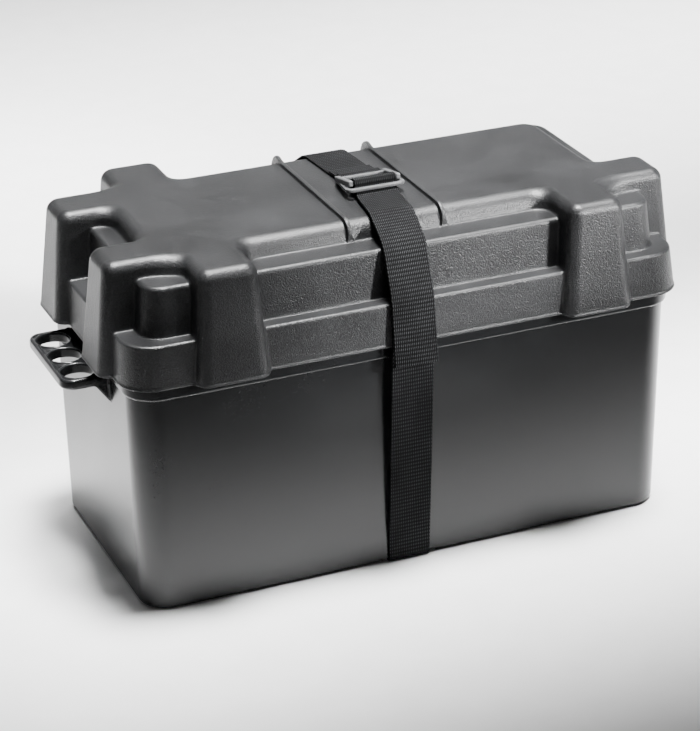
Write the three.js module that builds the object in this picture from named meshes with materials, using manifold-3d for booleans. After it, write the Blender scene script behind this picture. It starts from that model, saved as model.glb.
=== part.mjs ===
// Strapped battery box with a flooded 12 V deep cycle battery inside.
// Millimetres, +Z up. The origin is the middle of the box's underside, +X runs along the box and the
// buckle's loose strap end hangs down the front, which faces -Y.
import * as THREE from 'three';
import { mergeVertices } from 'three/addons/utils/BufferGeometryUtils.js';
import Module from 'manifold-3d';

const wasm = await Module();
wasm.setup();

// ---- driving dimensions -------------------------------------------------------------------------
const GAP = 0.3;                    // clearance between pieces that touch
const ARC_STEPS = 4;                // straight pieces in a quarter round
const EDGE_STEPS = 2;               // straight pieces in a rounded edge

// tub: outer half sizes at the floor and under the rim
const TUB = { foot: [200, 95], head: [202, 97], corner: 21, edge: 4, wall: 3, floor: 4.5, height: 162 };
const RIM = { half: [204.5, 100.5], corner: 24, wall: 3, top: 176 };

// lid: each tier is given by its half sizes at its top and at its foot
const LID = {
  foot: 172, wall: 3,
  skirt: { top: [205.8, 104], foot: [208.5, 105.2], height: 204, corner: 24 },
  waist: { top: [187.5, 90.5], foot: [191, 93.2], height: 239, corner: 15 },
  crown: { half: [171.5, 68.5], height: 251.6, corner: 12, edge: 7 },
  arm: { reach: 209, reachFoot: 217.4, inner: 29, innerFoot: 24, outerFoot: 72 },
  post: { from: 112.5, fromFoot: 109, to: 156.5, toFoot: 162, reach: 108, reachFoot: 115.2 },
};
const STRAP_RIB = { x: 35, width: 3.5, height: 3 };
const REST_TAB = { alongX: [45, 90], alongY: [14], thick: 3, reach: 96 };

// handle lugs, one at each end
const LUG = { reach: 234.8, half: 43.5, corner: 9, top: 162, thick: 8, bore: 11.5, pitch: 28, boreX: 219.5 };
const GUSSET = { reach: 10.5, drop: 12.5, thick: 3 };

// strap and its two-ring buckle
const STRAP = { width: 31.5, thick: 1.5, offset: -2.6, skew: 0.017 };
const CHANNEL = { half: 20, depth: 2.3 };
// Each ring is given by its front bar's middle, the distance back to its rear bar's, and how far its
// back end leans down, in degrees.
const UPPER_RING = { reach: 19.8, width: 38.4, bar: 3, thick: 2.6, front: -22.3, z: 261.3, lean: 11 };
const LOWER_RING = { reach: 33.6, width: 44.6, bar: 2.8, thick: 2.6, front: -28.6, z: 258.3, lean: 5.6 };
const BUCKLE_X = 3.3;
const PIN_RADIUS = 1.5;

// battery
const CELLS = 6;
const BATTERY = { length: 330, width: 173, corner: 6, wall: 3.5, floor: 4, partition: 2.5 };
const CASE_FOOT = TUB.floor + GAP;
const CASE_TOP = 190;
const COVER = { top: 212, roof: 4, deckTop: 218, deck: [158, 36], deckCorner: 8 };
const CELL_PITCH = (BATTERY.length - 2 * BATTERY.wall + BATTERY.partition) / CELLS;
const CELL_GAP = CELL_PITCH - BATTERY.partition;
const PLATES = { half: 76, foot: 16, top: 150, barFoot: 154, barTop: 164, barHalf: 7, barY: 50 };
const PLATE_PITCH = 4.6;
const POSITIVE = { count: 5, thick: 3 };
const NEGATIVE = { count: 6, thick: 2.2 };
const SEPARATOR = { thick: 1.2, top: 152, foot: 14.5, spine: 1.4 };
const LINK_RADIUS = 4;
const TERMINAL = { x: 137, y: -PLATES.barY, stem: 7, flange: 12, stud: 4, top: 236 };
const WASHER = { radius: 10, thick: 1.6 };
const WING_NUT = { hub: 7, height: 9, span: 17, wing: 13, thick: 3 };
const CAP = { length: 140, half: 17, height: 8, bung: 9.3, depth: 10 };
const FILLER_RADIUS = 9.8;

// ---- materials ----------------------------------------------------------------------------------
const finish = (color, roughness, metalness = 0) =>
  new THREE.MeshStandardMaterial({ color, roughness, metalness });
const COLOURS = {
  tub: [0x2b2d2e, 0.38],
  lid: [0x4a4c4d, 0.62],
  webbing: [0x232425, 0.85],
  ring: [0x8b8d8e, 0.4, 0.6],
  battery: [0x1d1e20, 0.5],
  cap: [0xc9b23a, 0.5],
  lead: [0x74777b, 0.55, 0.8],
  positive: [0x6a4a38, 0.8],
  negative: [0x7d8084, 0.75],
  separator: [0xe4e2da, 0.9],
  steel: [0xb9bbbd, 0.3, 1],
};

// ---- solids -------------------------------------------------------------------------------------
function solid(geometry) {
  const bare = geometry.clone();
  bare.deleteAttribute('normal');
  bare.deleteAttribute('uv');
  const merged = mergeVertices(bare, 1e-4);
  return new wasm.Manifold(new wasm.Mesh({
    numProp: 3,
    vertProperties: new Float32Array(merged.attributes.position.array),
    triVerts: new Uint32Array(merged.index.array),
  }));
}

function geometryOf(manifold) {
  const mesh = manifold.getMesh();
  const geometry = new THREE.BufferGeometry();
  geometry.setAttribute('position', new THREE.BufferAttribute(new Float32Array(mesh.vertProperties), 3));
  geometry.setIndex(new THREE.BufferAttribute(new Uint32Array(mesh.triVerts), 1));
  geometry.computeVertexNormals();
  return geometry;
}

const joined = (parts) => parts.slice(1).reduce((sum, part) => sum.add(part), parts[0]);
const cut = (body, tools) => tools.reduce((rest, tool) => rest.subtract(tool), body);

function block(x0, x1, y0, y1, z0, z1) {
  const geometry = new THREE.BoxGeometry(x1 - x0, y1 - y0, z1 - z0);
  return geometry.translate((x0 + x1) / 2, (y0 + y1) / 2, (z0 + z1) / 2);
}

// An upright cylinder.
function pillar(x, y, radius, z0, z1, steps = 4 * ARC_STEPS) {
  const geometry = new THREE.CylinderGeometry(radius, radius, z1 - z0, steps);
  return geometry.rotateX(Math.PI / 2).translate(x, y, (z0 + z1) / 2);
}

function roundedOutline(x0, x1, y0, y1, radius) {
  const shape = new THREE.Shape();
  shape.absarc(x1 - radius, y0 + radius, radius, -Math.PI / 2, 0, false);
  shape.absarc(x1 - radius, y1 - radius, radius, 0, Math.PI / 2, false);
  shape.absarc(x0 + radius, y1 - radius, radius, Math.PI / 2, Math.PI, false);
  shape.absarc(x0 + radius, y0 + radius, radius, Math.PI, 1.5 * Math.PI, false);
  shape.closePath();
  return shape;
}

// A rounded prism between two heights whose rectangle [x0, x1, y0, y1] changes from foot to top.
// Both ends get an edge rounding of the given size.
function prism(foot, top, radius, z0, z1, edge = 0) {
  const middle = foot.map((value, i) => (value + top[i]) / 2);
  const outline = roundedOutline(middle[0] + edge, middle[1] - edge, middle[2] + edge,
    middle[3] - edge, Math.max(radius - edge, 1));
  const geometry = new THREE.ExtrudeGeometry(outline, {
    depth: z1 - z0 - 2 * edge,
    bevelEnabled: edge > 0,
    bevelThickness: edge,
    bevelSize: edge,
    bevelSegments: EDGE_STEPS,
    curveSegments: ARC_STEPS,
  });
  geometry.translate(0, 0, z0 + edge);
  const centre = [(middle[0] + middle[1]) / 2, (middle[2] + middle[3]) / 2];
  const position = geometry.attributes.position;
  for (let i = 0; i < position.count; i += 1) {
    const [x, y, z] = [position.getX(i), position.getY(i), position.getZ(i)];
    const lean = (z - z0) / (z1 - z0) - 0.5;
    const sideX = x > centre[0] ? 1 : 0;
    const sideY = y > centre[1] ? 3 : 2;
    position.setX(i, x + lean * (top[sideX] - foot[sideX]));
    position.setY(i, y + lean * (top[sideY] - foot[sideY]));
  }
  return solid(geometry);
}

const centred = ([halfX, halfY], inset = 0) => [inset - halfX, halfX - inset, inset - halfY, halfY - inset];

// ---- tub ----------------------------------------------------------------------------------------
function tub() {
  const shellTop = TUB.height + TUB.edge;
  const shell = prism(centred(TUB.foot), centred(TUB.head), TUB.corner, 0, shellTop + TUB.edge, TUB.edge);
  const rim = prism(centred(RIM.half), centred(RIM.half), RIM.corner, TUB.height, RIM.top);
  const inside = prism(centred(TUB.foot, TUB.wall), centred(TUB.head, TUB.wall),
    TUB.corner - TUB.wall, TUB.floor, shellTop + 1);
  const rimInside = prism(centred(RIM.half, RIM.wall), centred(RIM.half, RIM.wall),
    RIM.corner - RIM.wall, TUB.height + RIM.wall, RIM.top + 1);
  const channel = solid(block(STRAP.offset - CHANNEL.half, STRAP.offset + CHANNEL.half,
    -TUB.head[1] - 1, TUB.head[1] + 1, -1, CHANNEL.depth));
  return cut(shell.add(rim), [inside, rimInside, channel]);
}

// Handle lug at one end (side is 1 or -1): a bored plate under the rim with two gussets.
function lug(side) {
  const root = TUB.head[0] + GAP;
  const foot = LUG.top - LUG.thick;
  const outline = roundedOutline(root - LUG.corner, LUG.reach, -LUG.half, LUG.half, LUG.corner);
  const plate = new THREE.ExtrudeGeometry(outline, {
    depth: LUG.thick - GAP, bevelEnabled: false, curveSegments: ARC_STEPS,
  }).translate(0, 0, foot);
  const bores = [-1, 0, 1].map((i) => solid(pillar(LUG.boreX, i * LUG.pitch, LUG.bore, foot - 1, LUG.top + 1)));
  const triangle = new THREE.Shape([
    new THREE.Vector2(root, foot + 1),
    new THREE.Vector2(root, foot - GUSSET.drop),
    new THREE.Vector2(root + GUSSET.reach, foot + 1),
  ]);
  const gussets = [-LUG.half + GUSSET.thick, LUG.half].map((y) => {
    const web = new THREE.ExtrudeGeometry(triangle, { depth: GUSSET.thick, bevelEnabled: false });
    return solid(web.rotateX(Math.PI / 2).translate(0, y, 0));
  });
  const insideTub = solid(block(0, root, -LUG.half - 1, LUG.half + 1, foot - 30, LUG.top + 1));
  const body = cut(joined([solid(plate), ...gussets]), [insideTub, ...bores]);
  return side > 0 ? body : body.rotate([0, 0, 180]);
}

// ---- lid ----------------------------------------------------------------------------------------
// The three corners that carry a full-height arm and post: [side of X, side of Y].
const LID_CORNERS = [[-1, -1], [-1, 1], [1, -1]];

const mirroredSpan = (side, near, far) => (side > 0 ? [near, far] : [-far, -near]);

// The lid's stepped form, drawn in by inset on every side and at the top.
function lidForm(inset) {
  const { skirt, waist, crown, arm, post } = LID;
  const foot = LID.foot - (inset > 0 ? 1 : 0);
  const top = crown.height - inset;
  const edge = crown.edge - inset;
  const parts = [
    prism(centred(skirt.foot, inset), centred(skirt.top, inset), skirt.corner - inset,
      foot, skirt.height - inset),
    prism(centred(waist.foot, inset), centred(waist.top, inset), waist.corner - inset,
      skirt.height - 12, waist.height - inset),
    prism(centred(crown.half, inset), centred(crown.half, inset), crown.corner - inset,
      waist.height - 20, top, edge),
  ];
  for (const [sideX, sideY] of LID_CORNERS) {
    const armFoot = [
      ...mirroredSpan(sideX, 150, arm.reachFoot - inset),
      ...mirroredSpan(sideY, arm.innerFoot + inset, arm.outerFoot - inset),
    ];
    const armTop = [
      ...mirroredSpan(sideX, 150, arm.reach - inset),
      ...mirroredSpan(sideY, arm.inner + inset, crown.half[1] - inset),
    ];
    parts.push(prism(armFoot, armTop, 9, foot, top, edge));
    const postFoot = [
      ...mirroredSpan(sideX, post.fromFoot + inset, post.toFoot - inset),
      ...mirroredSpan(sideY, 45, post.reachFoot - inset),
    ];
    const postTop = [
      ...mirroredSpan(sideX, post.from + inset, post.to - inset),
      ...mirroredSpan(sideY, 45, post.reach - inset),
    ];
    parts.push(prism(postFoot, postTop, 9, foot, top, edge));
  }
  // The pieces' lower ends are rounded too, so the form is trimmed flat a little above them.
  const trim = solid(block(-300, 300, -200, 200, foot - 20, foot));
  return cut(joined(parts), [trim]);
}

// Rib that keeps the strap in place: over the crown and down its front and back.
function strapRib(x) {
  const { half, height } = LID.crown;
  const out = half[1] + STRAP_RIB.height;
  const up = height + STRAP_RIB.height;
  const foot = LID.waist.height - 1;
  const bend = LID.crown.edge + 1;
  const inner = height - 1.5;
  const profile = new THREE.Shape();
  profile.moveTo(-out, foot);
  profile.lineTo(-half[1] + 1.5, foot);
  profile.lineTo(-half[1] + 1.5, inner - bend);
  profile.lineTo(-half[1] + bend, inner);
  profile.lineTo(half[1] - bend, inner);
  profile.lineTo(half[1] - 1.5, inner - bend);
  profile.lineTo(half[1] - 1.5, foot);
  profile.lineTo(out, foot);
  profile.absarc(out - bend, up - bend, bend, 0, Math.PI / 2, false);
  profile.absarc(bend - out, up - bend, bend, Math.PI / 2, Math.PI, false);
  profile.closePath();
  return acrossX(profile, x - STRAP_RIB.width / 2, STRAP_RIB.width);
}

// Extrude a (y, z) profile along +X from x0.
function acrossX(profile, x0, width) {
  const geometry = new THREE.ExtrudeGeometry(profile, { depth: width, bevelEnabled: false, curveSegments: 4 });
  const turn = new THREE.Matrix4().makeBasis(
    new THREE.Vector3(0, 1, 0), new THREE.Vector3(0, 0, 1), new THREE.Vector3(1, 0, 0));
  return solid(geometry.applyMatrix4(turn).translate(x0, 0, 0));
}

// Tabs inside the skirt that stand on the rim and carry the lid.
function restTabs() {
  const foot = RIM.top + GAP;
  const top = LID.skirt.height - LID.wall + 1;
  const half = REST_TAB.thick / 2;
  const tabs = [];
  for (const side of [-1, 1]) {
    for (const x of REST_TAB.alongX.flatMap((value) => [-value, value])) {
      const [y0, y1] = mirroredSpan(side, REST_TAB.reach, LID.skirt.top[1] - 1.5);
      tabs.push(solid(block(x - half, x + half, y0, y1, foot, top)));
    }
    for (const y of REST_TAB.alongY.flatMap((value) => [-value, value])) {
      const [x0, x1] = mirroredSpan(side, RIM.half[0] - 5, LID.skirt.top[0] - 1.5);
      tabs.push(solid(block(x0, x1, y - half, y + half, foot, top)));
    }
  }
  return tabs;
}

function lid() {
  const ribs = [-STRAP_RIB.x, STRAP_RIB.x].map(strapRib);
  const shell = joined([lidForm(0), ...ribs]).subtract(lidForm(LID.wall));
  return joined([shell, ...restTabs()]);
}

// ---- strap --------------------------------------------------------------------------------------
// A flat band that follows (y, z) points along its middle, square across X.
function band(points, thick = STRAP.thick) {
  const path = points.map(([y, z]) => new THREE.Vector2(y, z));
  const offsetPoint = (i, distance) => {
    const before = path[Math.max(i - 1, 0)];
    const after = path[Math.min(i + 1, path.length - 1)];
    const here = path[i];
    const inDirection = (i === 0 ? after.clone().sub(here) : here.clone().sub(before)).normalize();
    const outDirection = (i === path.length - 1 ? here.clone().sub(before) : after.clone().sub(here)).normalize();
    const tangent = inDirection.add(outDirection).normalize();
    const along = (i === 0 ? after.clone().sub(here) : here.clone().sub(before)).normalize();
    const normal = new THREE.Vector2(-tangent.y, tangent.x);
    const mitre = Math.max(new THREE.Vector2(-along.y, along.x).dot(normal), 0.5);
    return here.clone().addScaledVector(normal, distance / mitre);
  };
  const upper = path.map((_, i) => offsetPoint(i, thick / 2));
  const lower = path.map((_, i) => offsetPoint(i, -thick / 2)).reverse();
  const body = acrossX(new THREE.Shape([...upper, ...lower]), -STRAP.width / 2, STRAP.width);
  return geometryOf(body);
}

// Where the strap's middle is along X: it runs a little askew, and the buckle draws it to one side.
const besideBox = (y) => STRAP.offset + STRAP.skew * y;

function overLid(y) {
  const reach = y > 0 ? (LID.crown.half[1] - Math.abs(y)) / 50 : (95 + y) / 65;
  const pull = Math.min(Math.max(reach, 0), 1);
  return besideBox(y) + pull * (BUCKLE_X - besideBox(y));
}

function looseEnd(y) {
  const hang = Math.min(Math.max((-30 - y) / 70, 0), 1);
  return BUCKLE_X + hang * (-5 - BUCKLE_X);
}

// Move each point of a band along X by what the line gives for its y.
function laidOn(line, geometry) {
  const position = geometry.attributes.position;
  for (let i = 0; i < position.count; i += 1) {
    position.setX(i, position.getX(i) + line(position.getY(i)));
  }
  return geometry;
}

const HALF_THICK = STRAP.thick / 2;
const LAY = HALF_THICK + GAP;                    // middle of a band lying on a surface
const SPLIT_LOW = 7;                             // the under run hands over to the upright runs here
const crownLay = LID.crown.height + LAY;
const skirtCorner = [LID.skirt.top[1] + LAY + 0.3, LID.skirt.height];
const skirtFoot = [LID.skirt.foot[1] + LAY, LID.foot];

function underRun() {
  const low = HALF_THICK + 0.4;
  const side = TUB.foot[1] + LAY;
  return band([
    [-side - 0.4, SPLIT_LOW], [-side - 0.4, 4], [-side - 0.15, 2.4], [-side + 0.85, 1.3], [-side + 3, low],
    [side - 3, low], [side - 0.85, 1.3], [side + 0.15, 2.4], [side + 0.4, 4], [side + 0.4, SPLIT_LOW],
  ]);
}

function uprightRun(side) {
  return band([
    [side * (TUB.foot[1] + LAY + 0.4), SPLIT_LOW + GAP],
    [side * skirtFoot[0], skirtFoot[1]],
    [side * skirtCorner[0], skirtCorner[1] - GAP],
  ]);
}

function lidRun() {
  const waistCorner = [LID.waist.top[1] + LAY + 0.3, LID.waist.height + 0.6];
  const crownCorner = [LID.crown.half[1] - 1, crownLay - 1.6];
  const crownEdge = [LID.crown.half[1] - 7, crownLay];
  const half = [crownEdge, crownCorner, waistCorner, skirtCorner];
  return band([
    ...half.map(([y, z]) => [-y, z]).reverse(),
    [-30, crownLay], [18, crownLay],
    ...half,
  ]);
}

// Loose end: its sewn fold lies over the lower ring's rear bar. It passes under the upper ring's rear
// bar, round its front bar, under the lower ring's front bar, then over the strap and down the front.
function tail() {
  const lie = crownLay + STRAP.thick + GAP;
  const wrap = PIN_RADIUS + GAP + HALF_THICK + 0.1;
  const { front, z } = UPPER_RING;
  const roundPin = [0, 1, 2, 3, 4, 5].map((i) => {
    const angle = (1.12 * i / 5 - 0.15) * Math.PI;
    return [front + wrap * Math.cos(angle), z + wrap * Math.sin(angle)];
  });
  return band([
    [21.5, lie], [9.4, lie], [7.7, lie + 2.2], [6.3, lie + 3.2], [3.7, lie + 3.2], [2, lie + 1.9],
    [-0.8, lie + 0.1], [-14.8, lie],
    ...roundPin,
    [-25.3, 257], [-26.7, lie + 0.9], [-31, lie + 0.3], [-64, lie], [-71, lie - 2.2],
    [-93.8, LID.waist.height + 4.2], [-107.6, LID.skirt.height + 3],
    [-110.2, 185], [-113.4, 159],
  ], STRAP.thick - 0.1);
}

// ---- buckle -------------------------------------------------------------------------------------
function ring({ reach, width, bar, thick }) {
  const outer = roundedOutline(-width / 2, width / 2, -bar / 2, reach + bar / 2, 3);
  const inner = roundedOutline(bar - width / 2, width / 2 - bar, bar / 2, reach - bar / 2, 0.8);
  outer.holes.push(new THREE.Path(inner.getPoints(2).reverse()));
  const geometry = new THREE.ExtrudeGeometry(outer, {
    depth: thick - 1, bevelEnabled: true, bevelThickness: 0.5, bevelSize: 0.4, bevelOffset: -0.4,
    bevelSegments: 1, curveSegments: 3,
  });
  return solid(geometry.translate(0, 0, 0.5 - thick / 2));
}

const leant = (body, { front, z, lean }) => body.rotate([-lean, 0, 0]).translate([BUCKLE_X, front, z]);

const lowerRing = () => leant(ring(LOWER_RING), LOWER_RING);

// The upper ring turns on its round front bar, which the strap folds over.
function upperRing() {
  const { width, bar, thick } = UPPER_RING;
  const slot = width / 2 - bar;
  const frontBar = solid(block(-slot, slot, -bar, bar / 2 + 0.4, -thick, thick));
  const pin = new THREE.CylinderGeometry(PIN_RADIUS, PIN_RADIUS, 2 * slot + 2, 12);
  const body = ring(UPPER_RING).subtract(frontBar).add(solid(pin.rotateZ(Math.PI / 2)));
  return leant(body, UPPER_RING);
}

// ---- battery ------------------------------------------------------------------------------------
const HALF_LENGTH = BATTERY.length / 2;
const HALF_WIDTH = BATTERY.width / 2;
const cellX = (cell) => (cell - (CELLS - 1) / 2) * CELL_PITCH;
const linkSide = (cell) => (cell % 2 === 0 ? 1 : -1);   // side of Y of the link after this cell

function caseBody() {
  const outer = prism(centred([HALF_LENGTH, HALF_WIDTH]), centred([HALF_LENGTH, HALF_WIDTH]),
    BATTERY.corner, CASE_FOOT, CASE_TOP);
  const cells = [];
  for (let cell = 0; cell < CELLS; cell += 1) {
    cells.push(solid(block(cellX(cell) - CELL_GAP / 2, cellX(cell) + CELL_GAP / 2,
      BATTERY.wall - HALF_WIDTH, HALF_WIDTH - BATTERY.wall, CASE_FOOT + BATTERY.floor, CASE_TOP + 1)));
  }
  const ports = [];
  for (let cell = 0; cell < CELLS - 1; cell += 1) {
    const port = new THREE.CylinderGeometry(LINK_RADIUS + GAP, LINK_RADIUS + GAP, BATTERY.partition + 2, 12);
    ports.push(solid(port.rotateZ(Math.PI / 2).translate(cellX(cell) + CELL_PITCH / 2,
      linkSide(cell) * PLATES.barY, (PLATES.barFoot + PLATES.barTop) / 2)));
  }
  return cut(outer, [...cells, ...ports]);
}

function cover() {
  const foot = CASE_TOP + GAP;
  const size = centred([HALF_LENGTH, HALF_WIDTH]);
  const body = prism(size, size, BATTERY.corner, foot, COVER.top);
  const deck = prism(centred(COVER.deck), centred(COVER.deck, 2), COVER.deckCorner, foot + 5, COVER.deckTop);
  const hollow = solid(block(BATTERY.wall - HALF_LENGTH, HALF_LENGTH - BATTERY.wall,
    BATTERY.wall - HALF_WIDTH, HALF_WIDTH - BATTERY.wall, foot - 1, COVER.top - COVER.roof));
  const deckHollow = solid(block(BATTERY.wall - COVER.deck[0] + 3, COVER.deck[0] - BATTERY.wall - 3,
    BATTERY.wall - COVER.deck[1] + 3, COVER.deck[1] - BATTERY.wall - 3, foot - 1, COVER.deckTop - COVER.roof));
  const fillers = [];
  for (let cell = 0; cell < CELLS; cell += 1) {
    fillers.push(solid(pillar(cellX(cell), 0, FILLER_RADIUS, foot, COVER.deckTop + 1)));
  }
  const ports = [-1, 1].map((side) =>
    solid(pillar(side * TERMINAL.x, TERMINAL.y, TERMINAL.stem + GAP, foot, COVER.top + 1)));
  return cut(body.add(deck), [hollow, deckHollow, ...fillers, ...ports]);
}

// A comb of plates hanging from one lead bar at side (of Y).
function plateGroup(cell, { count, thick }, side) {
  const centre = cellX(cell);
  const first = centre - ((count - 1) / 2) * 2 * PLATE_PITCH;
  const parts = [];
  for (let i = 0; i < count; i += 1) {
    const x = first + i * 2 * PLATE_PITCH;
    const [y0, y1] = mirroredSpan(side, PLATES.barY - PLATES.barHalf + 1, PLATES.barY + PLATES.barHalf - 1);
    parts.push(solid(block(x - thick / 2, x + thick / 2, -PLATES.half, PLATES.half, PLATES.foot, PLATES.top)));
    parts.push(solid(block(x - thick / 2, x + thick / 2, y0, y1, PLATES.top - 1, PLATES.barFoot + 1)));
  }
  const reach = CELL_GAP / 2 - GAP;
  const [y0, y1] = mirroredSpan(side, PLATES.barY - PLATES.barHalf, PLATES.barY + PLATES.barHalf);
  parts.push(solid(block(centre - reach, centre + reach, y0, y1, PLATES.barFoot, PLATES.barTop)));
  return joined(parts);
}

// Separator sheets between the plates, held together by a thin spine under them.
function separators(cell) {
  const count = POSITIVE.count + NEGATIVE.count - 1;
  const first = cellX(cell) - ((count - 1) / 2) * PLATE_PITCH;
  const half = PLATES.half + 1.5;
  const parts = [solid(block(first, first + (count - 1) * PLATE_PITCH, -half, half,
    SEPARATOR.foot - SEPARATOR.spine, SEPARATOR.foot))];
  for (let i = 0; i < count; i += 1) {
    const x = first + i * PLATE_PITCH;
    parts.push(solid(block(x - SEPARATOR.thick / 2, x + SEPARATOR.thick / 2, -half, half,
      SEPARATOR.foot - SEPARATOR.spine, SEPARATOR.top)));
  }
  return joined(parts);
}

function cellLink(cell) {
  const link = new THREE.CylinderGeometry(LINK_RADIUS, LINK_RADIUS, BATTERY.partition, 12);
  return link.rotateZ(Math.PI / 2).translate(cellX(cell) + CELL_PITCH / 2,
    linkSide(cell) * PLATES.barY, (PLATES.barFoot + PLATES.barTop) / 2);
}

function lathe(points, steps = 20) {
  const profile = points.map(([radius, z]) => new THREE.Vector2(radius, z));
  return new THREE.LatheGeometry(profile, steps).rotateX(Math.PI / 2);
}

function terminal() {
  const { stem, flange, stud, top } = TERMINAL;
  const seat = COVER.top + GAP;
  return lathe([
    [0, PLATES.barTop + GAP], [stem, PLATES.barTop + GAP], [stem, seat], [flange, seat],
    [flange - 0.8, seat + 4], [stud, seat + 4], [stud, top - 1], [stud - 1, top], [0, top],
  ]);
}

const WASHER_FOOT = COVER.top + 4 + 2 * GAP;
const NUT_FOOT = WASHER_FOOT + WASHER.thick + GAP;

function washer() {
  const bore = TERMINAL.stud + GAP;
  const top = WASHER_FOOT + WASHER.thick;
  return lathe([[bore, WASHER_FOOT], [WASHER.radius, WASHER_FOOT], [WASHER.radius, top], [bore, top],
    [bore, WASHER_FOOT]]);
}

function wingNut() {
  const bore = TERMINAL.stud + GAP;
  const { hub, height, span, wing, thick } = WING_NUT;
  const body = solid(lathe([[bore, 0], [hub, 0], [hub - 1.2, height], [bore, height], [bore, 0]]));
  const outline = new THREE.Shape();
  outline.moveTo(hub - 2, 1);
  outline.lineTo(span - 4, wing - 6);
  outline.absarc(span - 4, wing - 3, 3, -Math.PI / 2, Math.PI * 0.7, false);
  outline.lineTo(hub - 2, height - 1);
  outline.closePath();
  const wings = [0, Math.PI].map((turn) => {
    const web = new THREE.ExtrudeGeometry(outline, { depth: thick, bevelEnabled: false, curveSegments: 5 });
    web.rotateX(Math.PI / 2).translate(0, thick / 2, 0).rotateZ(turn);
    return solid(web);
  });
  return geometryOf(joined([body, ...wings]));
}

// Gang cap over three filler holes.
function gangCap(side) {
  const centre = side * CELL_PITCH * 1.5;
  const foot = COVER.deckTop + GAP;
  const half = CAP.length / 2;
  const size = [centre - half, centre + half, -CAP.half, CAP.half];
  const bar = prism(size, [size[0] + 1, size[1] - 1, size[2] + 1, size[3] - 1], 8, foot, foot + CAP.height);
  const bungs = [-1, 0, 1].map((i) =>
    solid(pillar(centre + i * CELL_PITCH, 0, CAP.bung, foot - CAP.depth, foot + 1)));
  return joined([bar, ...bungs]);
}

// ---- assembly -----------------------------------------------------------------------------------
const batteryBox = new THREE.Group();

function add(name, shape, colour, parent = batteryBox, place = [0, 0, 0]) {
  const geometry = shape.isBufferGeometry ? shape : geometryOf(shape);
  const mesh = new THREE.Mesh(geometry, finish(...COLOURS[colour]));
  mesh.name = name;
  mesh.position.set(...place);
  parent.add(mesh);
  return mesh;
}

add('box_base', tub(), 'tub');
add('lug_right', lug(1), 'tub');
add('lug_left', lug(-1), 'tub');
add('box_lid', lid(), 'lid');

add('strap_under', laidOn(besideBox, underRun()), 'webbing');
add('strap_front', laidOn(besideBox, uprightRun(-1)), 'webbing');
add('strap_rear', laidOn(besideBox, uprightRun(1)), 'webbing');
add('strap_over_lid', laidOn(overLid, lidRun()), 'webbing');
add('strap_tail', laidOn(looseEnd, tail()), 'webbing');
add('buckle_ring_lower', lowerRing(), 'ring');
add('buckle_ring_upper', upperRing(), 'ring');

const battery = new THREE.Group();
batteryBox.add(battery);
add('battery_case', caseBody(), 'battery', battery);
add('battery_cover', cover(), 'battery', battery);
for (let cell = 0; cell < CELLS; cell += 1) {
  const label = cell + 1;
  add(`positive_plates_${label}`, plateGroup(cell, POSITIVE, -linkSide(cell)), 'positive', battery);
  add(`negative_plates_${label}`, plateGroup(cell, NEGATIVE, linkSide(cell)), 'negative', battery);
  add(`separators_${label}`, separators(cell), 'separator', battery);
}
for (let cell = 0; cell < CELLS - 1; cell += 1) {
  add(`cell_link_${cell + 1}`, cellLink(cell), 'lead', battery);
}
add('vent_cap_left', gangCap(-1), 'cap', battery);
add('vent_cap_right', gangCap(1), 'cap', battery);
for (const [side, pole] of [[-1, 'positive'], [1, 'negative']]) {
  const place = [side * TERMINAL.x, TERMINAL.y, 0];
  add(`terminal_${pole}`, terminal(), 'lead', battery, place);
  add(`washer_${pole}`, washer(), 'steel', battery, place);
  add(`wing_nut_${pole}`, wingNut(), 'steel', battery, [place[0], place[1], NUT_FOOT]);
}

export default batteryBox;
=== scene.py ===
import math

import bpy
import numpy as np
import openvdb
from mathutils import Matrix, Vector


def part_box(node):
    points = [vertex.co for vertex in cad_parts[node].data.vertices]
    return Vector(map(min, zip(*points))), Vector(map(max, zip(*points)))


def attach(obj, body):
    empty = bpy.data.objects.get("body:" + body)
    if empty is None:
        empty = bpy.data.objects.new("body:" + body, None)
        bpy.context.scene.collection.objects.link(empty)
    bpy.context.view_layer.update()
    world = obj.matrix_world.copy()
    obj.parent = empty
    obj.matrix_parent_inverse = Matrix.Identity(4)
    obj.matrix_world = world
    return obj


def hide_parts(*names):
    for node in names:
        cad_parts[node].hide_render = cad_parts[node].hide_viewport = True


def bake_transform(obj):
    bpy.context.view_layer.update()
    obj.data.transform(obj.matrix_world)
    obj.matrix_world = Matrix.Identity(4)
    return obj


MM = 0.001

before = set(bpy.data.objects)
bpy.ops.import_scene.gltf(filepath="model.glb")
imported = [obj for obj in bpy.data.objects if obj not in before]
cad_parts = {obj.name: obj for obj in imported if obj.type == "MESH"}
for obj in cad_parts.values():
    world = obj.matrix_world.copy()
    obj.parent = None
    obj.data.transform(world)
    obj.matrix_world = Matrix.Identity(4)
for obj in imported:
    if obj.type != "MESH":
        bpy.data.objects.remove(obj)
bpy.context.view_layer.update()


# ---- sizes, millimetres, measured off the frame where the frame has them ------------------------
def frame_box(node):
    """The low and high corners of a node's box."""
    low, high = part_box(node)
    return [v / MM for v in low], [v / MM for v in high]


TUB_HIGH = frame_box("box_base")[1]
TUB_FOOT = (200.0, 95.0)
TUB_HEAD = (202.0, 97.0)
TUB_CORNER = 21.0
TUB_EDGE = 4.5
TUB_WALL = 3.0
TUB_FLOOR = 4.5
RIM_FOOT = 162.0
RIM_TOP = TUB_HIGH[2]
RIM_HALF = (TUB_HIGH[0], TUB_HIGH[1])
RIM_CORNER = 24.0

LUG_HIGH = frame_box("lug_right")[1]
LUG_THICK = 7.7
LUG_ROOT = 198.5
LUG_HOLE = 11.4
LUG_RING = 13.6
LUG_HOLES = (219.5, (-28.0, 0.0, 28.0))

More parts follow.
